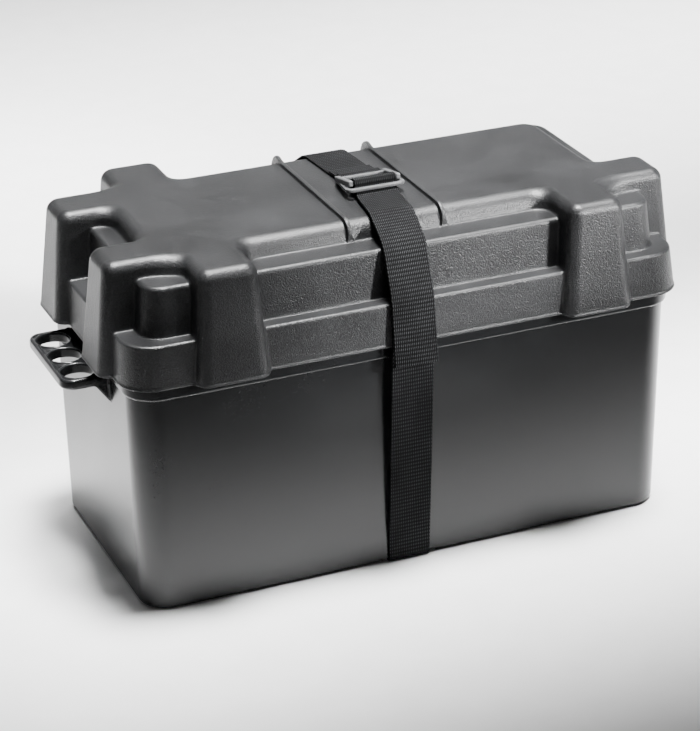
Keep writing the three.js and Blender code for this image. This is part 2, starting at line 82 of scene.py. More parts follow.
LID_FOOT = frame_box("box_lid")[0][2]
LID_WALL = 3.0
SKIRT_TOP = 204.0
SKIRT_CORNER = 24.0
WAIST_TOP = 239.0
WAIST_CORNER = 15.0
CROWN_FLANK_TOP = 244.0
CROWN_TOP = 251.6
CROWN_EDGE = 7.5
CROWN_CORNER = 9.0
RIBS_X = (-35.0, 35.0)

STRAP_X = -4.2
STRAP_CHANNEL = (-2.6, 20.0, 2.3)
STRAP_WIDTH = 31.5
STRAP_THICK = 1.35
WARP, WEFT = 1.35, 2.9
BUCKLE_X = 3.3
PIN = (-22.3, 261.3)

CASE_LOW, CASE_HIGH = frame_box("battery_case")
COVER_LOW, COVER_HIGH = frame_box("battery_cover")
COVER_TOP = 212.0
CELLS = range(1, 7)
CELL_BOXES = [frame_box(f"separators_{cell}") for cell in CELLS]
CELL_X = [(low[0] + high[0]) / 2 for low, high in CELL_BOXES]
CELL_PITCH = CELL_X[1] - CELL_X[0]
CASE_CORNER = 6.0
TERMINAL_LOW, TERMINAL_HIGH = frame_box("terminal_negative")
TERMINAL = ((TERMINAL_LOW[0] + TERMINAL_HIGH[0]) / 2, (TERMINAL_LOW[1] + TERMINAL_HIGH[1]) / 2)
TERMINAL_STEM = 7.0
CAP_LOW, CAP_TOP_CORNER = frame_box("vent_cap_left")
CAP_TOP = CAP_TOP_CORNER[2]
BUNG_DEPTH = 10.0
CAP_FOOT = CAP_LOW[2] + BUNG_DEPTH


# ---- distance fields ----------------------------------------------------------------------------
def smooth_step(low, high, value):
    """A share that eases from 0 at low to 1 at high."""
    t = np.clip((value - low) / (high - low), 0, 1)
    return t * t * (3 - 2 * t)


def join(a, b, radius=0.0):
    """Union of two fields, with a fillet of about the given radius where they meet."""
    if radius <= 0:
        return np.minimum(a, b)
    h = np.maximum(radius - np.abs(a - b), 0) / radius
    return np.minimum(a, b) - h * h * radius / 4


def overlap(a, b, radius=0.0):
    """Intersection of two fields, with its edge rounded off."""
    return -join(-a, -b, radius)


def rounded_box(qx, qy, radius):
    """Field of a rounded rectangle, from the distances past its straight sides."""
    ax, ay = qx + radius, qy + radius
    outside = np.sqrt(np.maximum(ax, 0) ** 2 + np.maximum(ay, 0) ** 2)
    return outside + np.minimum(np.maximum(ax, ay), 0) - radius


class Block:
    """A block of sample points. Coordinates are kept as thin arrays that broadcast together."""

    def __init__(self, low, high, step):
        counts = [int(math.ceil((h - l) / step)) + 1 for l, h in zip(low, high)]
        self.low, self.step = np.array(low, float), step
        axes = [l + step * np.arange(n) for l, n in zip(low, counts)]
        self.x = axes[0].reshape(-1, 1, 1).astype(np.float32)
        self.y = axes[1].reshape(1, -1, 1).astype(np.float32)
        self.z = axes[2].reshape(1, 1, -1).astype(np.float32)
        self.shape = tuple(counts)

    def surface(self, field):
        """Vertices (mm) and quads of the surface where the field is zero."""
        field = np.ascontiguousarray(np.broadcast_to(field, self.shape), dtype=np.float32)
        grid = openvdb.FloatGrid(background=3 * self.step)
        grid.copyFromArray(np.clip(field, -3 * self.step, 3 * self.step))
        points, quads = grid.convertToQuads(isovalue=0.0)
        return points * self.step + self.low, quads


def make_mesh(name, points, faces, smooth=True):
    """A mesh object from points in millimetres."""
    mesh = bpy.data.meshes.new(name)
    points = np.asarray(points, np.float32) * MM
    faces = np.asarray(faces, np.int32)
    corners = faces.shape[1]
    mesh.vertices.add(len(points))
    mesh.vertices.foreach_set("co", points.ravel())
    mesh.loops.add(faces.size)
    mesh.loops.foreach_set("vertex_index", faces.ravel())
    mesh.polygons.add(len(faces))
    mesh.polygons.foreach_set("loop_start", np.arange(0, faces.size, corners, dtype=np.int32))
    mesh.polygons.foreach_set("use_smooth", np.full(len(faces), smooth))
    mesh.update(calc_edges=True)
    mesh.validate()
    obj = bpy.data.objects.new(name, mesh)
    bpy.context.scene.collection.objects.link(obj)
    return obj


def apply_modifiers(obj):
    """The object with its modifiers made part of its mesh."""
    bpy.context.view_layer.update()
    made = bpy.data.meshes.new_from_object(obj.evaluated_get(bpy.context.evaluated_depsgraph_get()))
    obj.modifiers.clear()
    obj.data = made
    return obj


# ---- lid ----------------------------------------------------------------------------------------
def tapered_rectangle(b, foot_half, foot_z, top_half, top_z, radius, drift=0.0):
    """A rounded rectangle that narrows upwards, its middle drifting along X as it goes."""
    t = (b.z - foot_z) / (top_z - foot_z)
    half_x = foot_half[0] + t * (top_half[0] - foot_half[0])
    half_y = foot_half[1] + t * (top_half[1] - foot_half[1])
    return rounded_box(np.abs(b.x - drift * t) - half_x, np.abs(b.y) - half_y, radius)


def span(b, axis, low, high):
    """Distance past the two ends of a span. Each end is (value at the lid's foot, value at the crown)."""
    t = (b.z - LID_FOOT) / (CROWN_FLANK_TOP - LID_FOOT)
    near = low[0] + t * (low[1] - low[0])
    far = high[0] + t * (high[1] - high[0])
    return np.maximum(axis - far, near - axis)


def lid_field(b):
    """The lid's outside: two stepped tiers under a crown with an arm and a post at three corners."""
    skirt = tapered_rectangle(b, (208.3, 105.0), LID_FOOT, (204.9, 104.2), SKIRT_TOP, SKIRT_CORNER, -1.1)
    skirt = overlap(skirt, b.z - SKIRT_TOP, 2.4)
    waist = tapered_rectangle(b, (191.0, 93.2), SKIRT_TOP, (187.6, 90.6), WAIST_TOP, WAIST_CORNER)
    waist = overlap(waist, b.z - WAIST_TOP, 3.6)
    beside_strap = smooth_step(24, 31, np.abs(b.x - 1.0)) + (b.y < 0)
    strap_seat = (b.y - 84.0) * 0.62 + (b.z - WAIST_TOP) * 0.785 - 40.0 * beside_strap
    waist = np.maximum(waist, strap_seat)
    tiers = join(skirt, waist, 1.5)

    plan = tapered_rectangle(b, (172.5, 70.5), WAIST_TOP, (171.5, 68.5), CROWN_FLANK_TOP, 14.0)
    for side_x, side_y in ((-1, -1), (-1, 1), (1, -1)):
        arm = rounded_box(
            span(b, side_x * b.x, (140, 140), (216.9, 209)),
            span(b, side_y * b.y, (24, 29.5), (72, 68.5)), CROWN_CORNER)
        post = rounded_box(
            span(b, side_x * b.x, (109.5, 114) if side_y < 0 else (107.8, 112.3), (161.5, 156.5)),
            span(b, side_y * b.y, (20, 20), (114.3, 107.8)), CROWN_CORNER)
        plan = join(plan, join(arm, post, 14.0), 14.0)
    upper = rounded_box(plan, b.z - CROWN_TOP, CROWN_EDGE)
    body = join(tiers, upper, 2.0)
    lip = 0.45 * smooth_step(LID_FOOT + 2.6, LID_FOOT + 1.6, b.z)
    return body - lip


def strap_rib_field(b, x):
    """Guide rib beside the strap: it follows the crown's outline, standing higher at its rear end."""
    rise = 3.0 + 2.0 * smooth_step(52, 64, b.y)
    outline = rounded_box(np.abs(b.y) - (68.0 + rise), b.z - (CROWN_TOP + rise), CROWN_EDGE + rise)
    across = np.abs(b.x - x) - (1.5 + 0.9 * smooth_step(248, 238, b.z))
    rib = overlap(outline, across, 0.8)
    return np.maximum(rib, WAIST_TOP - 2 - b.z)


def make_lid(b):
    """The lid's shell with its two strap ribs."""
    outer = lid_field(b)
    shell = np.maximum(outer, -(outer + LID_WALL))
    rooted = -(outer + LID_WALL - 1.5)
    del outer
    for x in RIBS_X:
        shell = join(shell, np.maximum(strap_rib_field(b, x), rooted), 1.0)
    tab = np.maximum(np.abs(np.abs(np.abs(b.x) - 67.5) - 22.5) - 1.5, np.abs(np.abs(b.y) - 99.5) - 3.5)
    end_tab = np.maximum(np.abs(np.abs(b.y) - 14.0) - 1.5, np.abs(np.abs(b.x) - 202.0) - 2.5)
    tabs = np.maximum(np.minimum(tab, end_tab), np.abs(b.z - RIM_TOP - 13.5) - 13.2)
    shell = np.minimum(shell, tabs)
    return np.maximum(shell, LID_FOOT - b.z)


# ---- tub with its lugs --------------------------------------------------------------------------
def lug_field(b, side):
    """Handle lug: a rounded plate with three bored holes, each with a raised ring, and two gussets."""
    out = side * b.x
    reach, half_y = LUG_HIGH[0], LUG_HIGH[1]
    top, thick = LUG_HIGH[2], LUG_THICK
    plan = rounded_box(np.abs(out - (reach + 180) / 2) - (reach - 180) / 2, np.abs(b.y) - half_y, 10.0)
    plate = overlap(plan, np.abs(b.z - top + thick / 2) - thick / 2, 2.4)
    pan = overlap(plan + 3.2, top - 1.6 - b.z, 1.0)
    plate = overlap(plate, -pan, 1.0)
    holes_out, holes_y = LUG_HOLES
    for y in holes_y:
        from_axis = np.sqrt((out - holes_out) ** 2 + (b.y - y) ** 2)
        ring = overlap(from_axis - LUG_RING, np.abs(b.z - top + 4.0) - 3.9, 1.2)
        ring = overlap(ring, plan, 0.5)
        plate = overlap(join(plate, ring, 1.0), LUG_HOLE - from_axis, 1.4)
    slope = ((out - 202.0) + (b.z - (top - thick)) * -0.72 - 10.0) / 1.23
    gusset = overlap(np.abs(np.abs(b.y) - 42.0) - 1.5, slope, 1.0)
    gusset = np.maximum(gusset, b.z - top + thick)
    gusset = np.maximum(gusset, (top - thick - 12.3) - b.z)
    return np.maximum(join(plate, gusset, 1.5), LUG_ROOT - out)


def tub_field(b):
    """The tub: a drafted wall drawn in a little by the strap, a stepped rim and a lug at each end."""
    squeeze = 1.3 * np.exp(-((b.x - STRAP_X) / 60.0) ** 2)
    squeeze = squeeze * smooth_step(0, 45, b.z) * smooth_step(RIM_FOOT, 110, b.z)
    t = b.z / RIM_FOOT
    half_x = TUB_FOOT[0] + t * (TUB_HEAD[0] - TUB_FOOT[0])
    half_y = TUB_FOOT[1] + t * (TUB_HEAD[1] - TUB_FOOT[1]) - squeeze
    wall = rounded_box(np.abs(b.x) - half_x, np.abs(b.y) - half_y, TUB_CORNER)
    outer = rounded_box(wall, -b.z, TUB_EDGE)
    inner = overlap(wall + TUB_WALL, TUB_FLOOR - b.z, 4.0)

    band = rounded_box(np.abs(b.x) - RIM_HALF[0], np.abs(b.y) - RIM_HALF[1], RIM_CORNER)
    rim = overlap(band, RIM_FOOT - b.z, 1.6)
    rim_inner = overlap(band + TUB_WALL, RIM_FOOT + TUB_WALL - b.z, 1.5)
    body = join(np.maximum(outer, b.z - RIM_TOP), rim, 1.0)
    body = overlap(body, b.z - RIM_TOP, 1.0)
    body = overlap(body, -join(inner, rim_inner, 1.0), 0.8)
    lugs = np.minimum(lug_field(b, 1), lug_field(b, -1))
    body = join(body, lugs, 2.0)
    middle, half_width, depth = STRAP_CHANNEL
    channel = overlap(np.abs(b.x - middle) - half_width, b.z - depth, 0.8)
    return overlap(body, -channel, 0.8)


NORMAL_REACH = 0.25


class Points:
    """Places to read a distance field at, in the same form as a block of them."""

    def __init__(self, places):
        self.x, self.y, self.z = places.T


def field_normals(places, make_field):
    """The direction in which a field grows at each place: the surface's true normal."""
    slope = np.empty_like(places)
    for axis in range(3):
        move = np.zeros(3)
        move[axis] = NORMAL_REACH
        slope[:, axis] = make_field(Points(places + move)) - make_field(Points(places - move))
    return slope / np.maximum(np.linalg.norm(slope, axis=1), 1e-6)[:, None]


def field_object(name, low, high, step, make_field, keep=1.0):
    """A mesh object from a distance field sampled over the block from low to high, all in mm."""
    b = Block(low, high, step)
    points, quads = b.surface(make_field(b))
    obj = make_mesh(name, points, quads)
    if keep < 1:
        thin = obj.modifiers.new("thin", "DECIMATE")
        thin.ratio = keep
        apply_modifiers(obj)
    mesh = obj.data
    mesh.polygons.foreach_set("use_smooth", np.ones(len(mesh.polygons), bool))
    places = np.empty(3 * len(mesh.vertices), np.float32)
    mesh.vertices.foreach_get("co", places)
    places = places.reshape(-1, 3).astype(float) / MM
    mesh.normals_split_custom_set_from_vertices(field_normals(places, make_field))
    return obj


# ---- webbing ------------------------------------------------------------------------------------
def rounded_path(corners, step):
    """Points every step along straight runs joined by arcs. A corner is (y, z, radius)."""
    points = [Vector(corners[0][:2])]
    for before, here, after in zip(corners, corners[1:], corners[2:]):
        a, c, d = Vector(before[:2]), Vector(here[:2]), Vector(after[:2])
        to_a, to_d = (a - c).normalized(), (d - c).normalized()
        half = max(math.acos(max(-1, min(1, to_a.dot(to_d)))) / 2, 1e-3)
        reach = min(here[2] / math.tan(half), 0.49 * (a - c).length, 0.49 * (d - c).length)
        count = max(3, int(2 * (math.pi / 2 - half) * here[2] / step) + 2)
        for i in range(count + 1):
            t = i / count
            near, far = c + to_a * reach, c + to_d * reach
            points.append((1 - t) ** 2 * near + 2 * t * (1 - t) * c + t * t * far)
    points.append(Vector(corners[-1][:2]))
    path = np.array([tuple(p) for p in points])
    keep = np.r_[True, np.linalg.norm(np.diff(path, axis=0), axis=1) > 1e-4]
    path = path[keep]
    along = np.r_[0, np.cumsum(np.linalg.norm(np.diff(path, axis=0), axis=1))]
    wanted = np.linspace(0, along[-1], int(along[-1] / step) + 2)
    return np.stack([np.interp(wanted, along, path[:, i]) for i in (0, 1)], 1), wanted


WEB_STEP = 0.6
WEB_COLUMNS = 98


def webbing(name, corners, centre_x, curl=None):
    """A woven strap that follows a (y, z) path. centre_x gives the strap's middle along the path."""
    path, along = rounded_path(corners, WEB_STEP)
    tangent = np.gradient(path, axis=0)
    tangent /= np.linalg.norm(tangent, axis=1)[:, None]
    normal = np.stack([-tangent[:, 1], tangent[:, 0]], 1)
    across = np.linspace(-1, 1, WEB_COLUMNS)
    middle = np.array([centre_x(y, z) for y, z in path])
    u = across * STRAP_WIDTH / 2
    rows = np.cos(2 * np.pi * along / WEFT)[:, None]
    yarns = np.cos(2 * np.pi * u / WARP)[None, :]
    relief = 0.05 * rows + 0.07 * yarns * (0.6 + 0.4 * rows)
    edge = np.sqrt(np.clip(1 - np.clip((np.abs(across) - 0.955) / 0.045, 0, 1) ** 2, 0, 1))
    half = (STRAP_THICK / 2 + relief) * (0.25 + 0.75 * edge[None, :])
    spread = u[None, :] * (1 + 0.012 * rows * (np.abs(across) > 0.9)[None, :])
    bend = np.zeros((len(path), len(u))) if curl is None else curl(along, across)
    layers = []
    for sign in (1, -1):
        offset = bend + sign * half
        x = middle[:, None] + spread + 0 * offset
        y = path[:, :1] + normal[:, :1] * offset
        z = path[:, 1:] + normal[:, 1:] * offset
        layers.append(np.stack([x, y, z], 2))
    rows, columns = len(path), len(u)
    points = np.concatenate([layer.reshape(-1, 3) for layer in layers])
    index = np.arange(rows * columns).reshape(rows, columns)
    top = np.stack([index[:-1, :-1], index[:-1, 1:], index[1:, 1:], index[1:, :-1]], 2).reshape(-1, 4)
    under = top[:, ::-1] + rows * columns
    below = index + rows * columns
    edges = [(index[:, 0], below[:, 0], True), (index[:, -1], below[:, -1], False),
             (index[0], below[0], False), (index[-1], below[-1], True)]
    walls = []
    for upper, lower, turn in edges:
        wall = np.stack([upper[:-1], upper[1:], lower[1:], lower[:-1]], 1)
        walls.append(wall if turn else wall[:, ::-1])
    obj = make_mesh(name, points, np.concatenate([top, under] + walls))
    lengthwise = np.concatenate([np.repeat(along, columns)] * 2).astype(np.float32)
    crosswise = np.concatenate([np.tile(u, rows)] * 2).astype(np.float32)
    for key, values in (("along", lengthwise), ("across", crosswise)):
        attribute = obj.data.attributes.new(key, "FLOAT", "POINT")
        attribute.data.foreach_set("value", values)
    return obj


def lay_corners():
    """Corner points (y, z, radius) of half the closed run of the strap round the box and lid."""
    return [(61.5, 252.5, 5.0), (67.2, 251.4, 5.0), (91.6, 239.5, 4.0), (105.3, 203.8, 6.0),
            (106.2, LID_FOOT, 8.0), (96.5, 5.5, 3.0), (95.6, 1.2, 2.6)]


def strap_middle(y, z):
    """Middle of the strap along X: drawn to one side by the buckle where it crosses the lid's top."""
    beside = -2.6 + 0.017 * y
    if z < 230:
        return beside
    return float(np.interp(y, (-95, -30, 14, 57, 95), (beside, 3.2, 4.1, 1.7, beside)))


def tail_middle(y, _):
    """Middle of the loose end along X, from the lower ring to where it ends."""
    return float(np.interp(-y, (-22, -14, 28, 35, 63, 86, 99, 112, 115),
                           (3.6, 4.1, 3.4, 1.6, -1.8, -4.4, -5.0, -4.9, -4.2)))


def make_straps():
    """The closed run of the strap round the box and lid, and its loose end through the buckle."""
    half = lay_corners()
    rear = [(61.5, 252.5, 5.0), (67.6, 250.8, 5.0), (84.6, 239.6, 3.0), (93.6, 232.0, 6.0)] + half[3:]
    loop = [(-12.0, 252.5, 1.0)] + [(-y, z, r) for y, z, r in half]
    loop += list(reversed(rear)) + [(0.0, 252.5, 1.0), (-11.0, 252.5, 1.0)]
    main = webbing("strap_round_box", loop, strap_middle)

    def turn(along, across):
        """The loose end lies a little curled across its width and twists towards its end."""
        t = np.clip((along - along[-1] + 95) / 95, 0, 1)[:, None]
        a = across[None, :]
        return 0.9 * t * a * a - 1.3 * t ** 2 * a + 0.25 * t

    pin_y, pin_z = PIN
    lie = 254.25
    tail = webbing("strap_loose_end", [
        (21.5, lie, 1.0), (10.2, lie, 3.0), (6.9, lie + 3.1, 2.2), (3.2, lie + 3.3, 2.2),
        (-0.6, lie + 0.1, 3.0), (-15.0, lie + 0.1, 3.0),
        (pin_y + 3.1, pin_z - 2.2, 2.0), (pin_y + 2.6, pin_z + 2.5, 2.6),
        (pin_y - 2.6, pin_z + 2.6, 2.6), (pin_y - 3.0, pin_z - 4.6, 2.0),
        (-27.4, lie + 0.9, 2.0), (-34.0, lie + 0.2, 8.0), (-62.0, lie + 0.1, 16.0),
        (-92.5, 243.6, 26.0), (-107.6, 207.0, 40.0), (-110.8, 184.0, 30.0), (-113.6, 159.5, 1.0),
    ], tail_middle, curl=turn)
    return main, tail


# ---- buckle -------------------------------------------------------------------------------------
def frame_ring(name, centre, reach, width, bar, thick, radius, softness, lean, taper=0.0):
    """A four-sided ring swept round a rounded rectangle, its front bar's middle at centre and its back
    end leant down. With a taper its side arms draw in towards its rear bar."""
    x1, y0, y1 = width / 2, -bar / 2, reach + bar / 2
    corners = ((x1, y0, -90), (x1, y1, 0), (-x1, y1, 90), (-x1, y0, 180))
    stations = []
    for cx, cy, start in corners:
        inward_x = -1 if cx > 0 else 1
        inward_y = -1 if cy == y1 else 1
        for i in range(9):
            angle = math.radians(start + 90 * i / 8)
            nx, ny = math.cos(angle), math.sin(angle)
            stations.append((cx + (inward_x + nx) * radius, cy + (inward_y + ny) * radius, nx, ny))
    sides = 28
    tilt = math.radians(-lean)
    points = []
    for x, y, nx, ny in stations:
        for k in range(sides):
            a = 2 * math.pi * k / sides
            ca, sa = math.cos(a), math.sin(a)
            s = math.copysign(abs(ca) ** softness, ca) * bar / 2 - bar / 2
            h = math.copysign(abs(sa) ** softness, sa) * thick / 2
            py = y + ny * s
            draw_in = 1 - taper * float(smooth_step(4, 20, py))
            points.append((centre[0] + (x + nx * s) * draw_in,
                           centre[1] + py * math.cos(tilt) - h * math.sin(tilt),
                           centre[2] + py * math.sin(tilt) + h * math.cos(tilt)))
    faces = []
    count = len(stations)
    for i in range(count):
        for k in range(sides):
            a, b = i * sides + k, i * sides + (k + 1) % sides
            c, d = ((i + 1) % count) * sides + (k + 1) % sides, ((i + 1) % count) * sides + k
            faces.append((a, d, c, b))
    return make_mesh(name, points, faces)


def turned(name, profile, centre, steps=48, axis="Z"):
    """A turned piece from (radius, height) points, closed on its axis or on itself."""
    profile = np.array(profile, float)
    points, faces = [], []
    for i in range(steps):
        a = 2 * math.pi * i / steps
        for r, h in profile:
            u, v = r * math.cos(a), r * math.sin(a)
            p = (u, v, h) if axis == "Z" else (h, u, v)
            points.append((p[0] + centre[0], p[1] + centre[1], p[2] + centre[2]))
    n = len(profile)
    for i in range(steps):
        for k in range(n - 1):
            a, b = i * n + k, i * n + k + 1
            c, d = ((i + 1) % steps) * n + k + 1, ((i + 1) % steps) * n + k
            faces.append((a, d, c, b))
    obj = make_mesh(name, points, faces)
    weld = obj.modifiers.new("weld", "WELD")
    weld.merge_threshold = 1e-6
    return apply_modifiers(obj)


# ---- battery ------------------------------------------------------------------------------------
def case_field(b):
    """The battery's case: recessed side panels outside, six cells inside."""
    half_x, half_y = CASE_HIGH[0], CASE_HIGH[1]
    recess = 1.4 * smooth_step(22, 25, b.z) * smooth_step(CASE_HIGH[2] - 12, CASE_HIGH[2] - 15, b.z)
    fold = np.abs(((b.x / CELL_PITCH) % 1.0) - 0.5) * CELL_PITCH
    recess = recess * smooth_step(2.0, 3.4, CELL_PITCH / 2 - fold)
    wall = rounded_box(np.abs(b.x) - half_x + 0.4 * recess, np.abs(b.y) - half_y + recess, CASE_CORNER)
    body = overlap(wall, np.maximum(CASE_LOW[2] - b.z, b.z - CASE_HIGH[2]), 1.6)
    for x in CELL_X:
        cell = rounded_box(np.abs(b.x - x) - (CELL_PITCH - 2.6) / 2, np.abs(b.y) - half_y + 4.4, 3.0)
        body = np.maximum(body, -np.maximum(cell, CASE_LOW[2] + 4.2 - b.z))
    return body


def cover_field(b):
    """The battery's cover: a plate with a raised deck, six filler wells and a sign beside each pole."""
    half_x, half_y = COVER_HIGH[0], COVER_HIGH[1]
    plate_top, deck_top = COVER_TOP, COVER_HIGH[2]
    wall = rounded_box(np.abs(b.x) - half_x, np.abs(b.y) - half_y, CASE_CORNER)
    band = 0.8 * smooth_step(195, 196.5, b.z)
    body = overlap(wall + band, b.z - plate_top, 4.0)
    deck = rounded_box(np.abs(b.x) - 157.5, np.abs(b.y) - 35.5, 8.0)
    body = join(body, overlap(deck, b.z - deck_top, 2.5), 2.0)
    tray = rounded_box(np.abs(b.x) - 154.0, np.abs(b.y) - 19.5, 5.0)
    body = overlap(body, -np.maximum(tray, deck_top - 1.2 - b.z), 0.8)
    bore, filler = TERMINAL_STEM + 0.3, 9.8
    for side in (-1, 1):
        from_axis = np.sqrt((b.x - side * TERMINAL[0]) ** 2 + (b.y - TERMINAL[1]) ** 2)
        body = overlap(body, bore - from_axis, 0.8)
        mark_x, mark_y = b.x - side * (TERMINAL[0] - 24), b.y - TERMINAL[1] - 2
        mark = np.maximum(np.abs(mark_x) - 4.5, np.abs(mark_y) - 1.1)
        if side < 0:
            mark = np.minimum(mark, np.maximum(np.abs(mark_y) - 4.5, np.abs(mark_x) - 1.1))
        body = overlap(body, -np.maximum(mark, plate_top - 0.9 - b.z), 0.4)
    hollow = rounded_box(np.abs(b.x) - half_x + 4.2, np.abs(b.y) - half_y + 4.2, 3.0)
    hollow = np.maximum(hollow, b.z - plate_top + 4)
    low_deck = np.maximum(deck + 7.0, b.z - deck_top + 4.6)
    body = np.maximum(body, -np.minimum(hollow, low_deck))
    body = np.maximum(body, COVER_LOW[2] - b.z)
    for x in CELL_X:
        body = overlap(body, filler - np.sqrt((b.x - x) ** 2 + b.y ** 2), 0.6)
    return body


def cap_field(b, centre):
    """A gang of vent caps: one bar with finger grips, over three bungs with vent holes."""
    low, high = CAP_FOOT, CAP_TOP
    plan = rounded_box(np.abs(b.x - centre) - 69.4, np.abs(b.y) - 16.4, 8.0)
    grip = 2.2 * np.exp(-((np.abs(b.x - centre) - 69.5) / 9.0) ** 2) * np.exp(-(b.y / 9.0) ** 2)
    body = overlap(plan + grip, np.abs(b.z - (low + high) / 2) - (high - low) / 2, 2.4)
    for i in (-1, 0, 1):
        from_axis = np.sqrt((b.x - centre - i * CELL_PITCH) ** 2 + b.y ** 2)
        dish = np.abs(from_axis - 10.2) - 0.9
        body = overlap(body, -np.maximum(dish, high - 0.9 - b.z), 0.8)
        bung = overlap(from_axis - 9.2, (low - BUNG_DEPTH) - b.z, 1.2)
        groove = 0.7 * (np.abs(b.z - (low - 5.0)) < 1.2)
        body = np.minimum(body, np.maximum(bung + groove, b.z - low - 2))
        body = np.maximum(body, -np.maximum(from_axis - 1.4, b.z - high + 4.0))
    return body


def slabs(name, boxes, bevel=0.35):
    """Several slabs as one piece, with their edges broken. A box is (x0, x1, y0, y1, z0, z1)."""
    points, faces = [], []
    for x0, x1, y0, y1, z0, z1 in boxes:
        at = len(points)
        points += [(x, y, z) for z in (z0, z1) for y in (y0, y1) for x in (x0, x1)]
        faces += [[at + i for i in face] for face in (
            (0, 2, 3, 1), (4, 5, 7, 6), (0, 1, 5, 4), (2, 6, 7, 3), (0, 4, 6, 2), (1, 3, 7, 5))]
    obj = make_mesh(name, points, faces, smooth=False)
    edge = obj.modifiers.new("edge", "BEVEL")
    edge.width, edge.segments, edge.limit_method = bevel * MM, 2, "ANGLE"
    return apply_modifiers(obj)


def plate_comb(name, node, first_x, count, thick, side):
    """Plates of one sign hanging from their lead bar."""
    low, high = frame_box(node)
    y0, y1 = sorted((side * 43.0, side * 57.0))
    boxes = [(low[0], high[0], y0, y1, 154.0, high[2])]
    for i in range(count):
        x = first_x + i * 9.2
        boxes.append((x - thick / 2, x + thick / 2, low[1], high[1], low[2], 150.0))
        boxes.append((x - thick / 2, x + thick / 2, y0 + 1, y1 - 1, 149.5, 154.6))
    return slabs(name, boxes)


def separator_pack(name, node):
    """Separator sheets standing on one strip."""
    low, high = frame_box(node)
    boxes = [(low[0], high[0], low[1], high[1], low[2], low[2] + 1.3)]
    count = 10
    for i in range(count):
        x = low[0] + 0.6 + i * (high[0] - low[0] - 1.2) / (count - 1)
        boxes.append((x - 0.55, x + 0.55, low[1] + 0.2, high[1] - 0.2, low[2] + 1.0, high[2]))
    return slabs(name, boxes, bevel=0.2)


WASHER_PROFILE = [
    (4.3, 0.25), (4.5, 0), (9.7, 0), (10, 0.3), (10, 1.3), (9.7, 1.6), (4.5, 1.6), (4.3, 1.35), (4.3, 0.25),
]


def terminal_field(b, centre):
    """A lead stem with a flange, and a threaded stud on top."""
    low, high = TERMINAL_LOW[2], TERMINAL_HIGH[2]
    from_axis = np.sqrt((b.x - centre[0]) ** 2 + (b.y - centre[1]) ** 2)
    turn = np.arctan2(b.y - centre[1], b.x - centre[0]) / (2 * np.pi)
    seat = COVER_TOP + 0.3
    stem = overlap(from_axis - TERMINAL_STEM + 0.1, np.maximum(low - b.z, b.z - seat - 1), 0.6)
    flange = overlap(from_axis - 11.8 + 0.15 * (b.z - seat), np.maximum(seat - b.z, b.z - seat - 4), 1.0)
    thread = 0.32 * np.abs(2 * ((b.z / 1.6 - turn) % 1.0) - 1)
    stud = overlap(from_axis - 3.95 + thread, np.maximum(seat + 3 - b.z, b.z - high), 1.2)
    return np.minimum(np.minimum(stem, flange), stud)


def wing_nut_field(b, centre, foot):
    """A coned hub with two wings that rise outwards."""
    x, y, z = b.x - centre[0], b.y - centre[1], b.z - foot
    from_axis = np.sqrt(x ** 2 + y ** 2)
    hub = overlap(from_axis - 6.9 + 0.12 * z, np.maximum(-z, z - 8.9), 1.2)
    tip = np.sqrt((np.abs(x) - 12.6) ** 2 + (z - 9.6) ** 2) - 3.1
    slope = np.abs(z - 2.6 - 0.5 * (np.abs(x) - 4)) - 2.2
    root = np.maximum(np.maximum(4.5 - np.abs(x), np.abs(x) - 12.6), slope)
    wing = join(tip, root, 3.0)
    wing = overlap(wing, np.abs(y) - 1.35, 0.9)
    wing = np.maximum(wing, -z + 0.3)
    return overlap(join(hub, wing, 1.6), 4.3 - from_axis, 0.5)


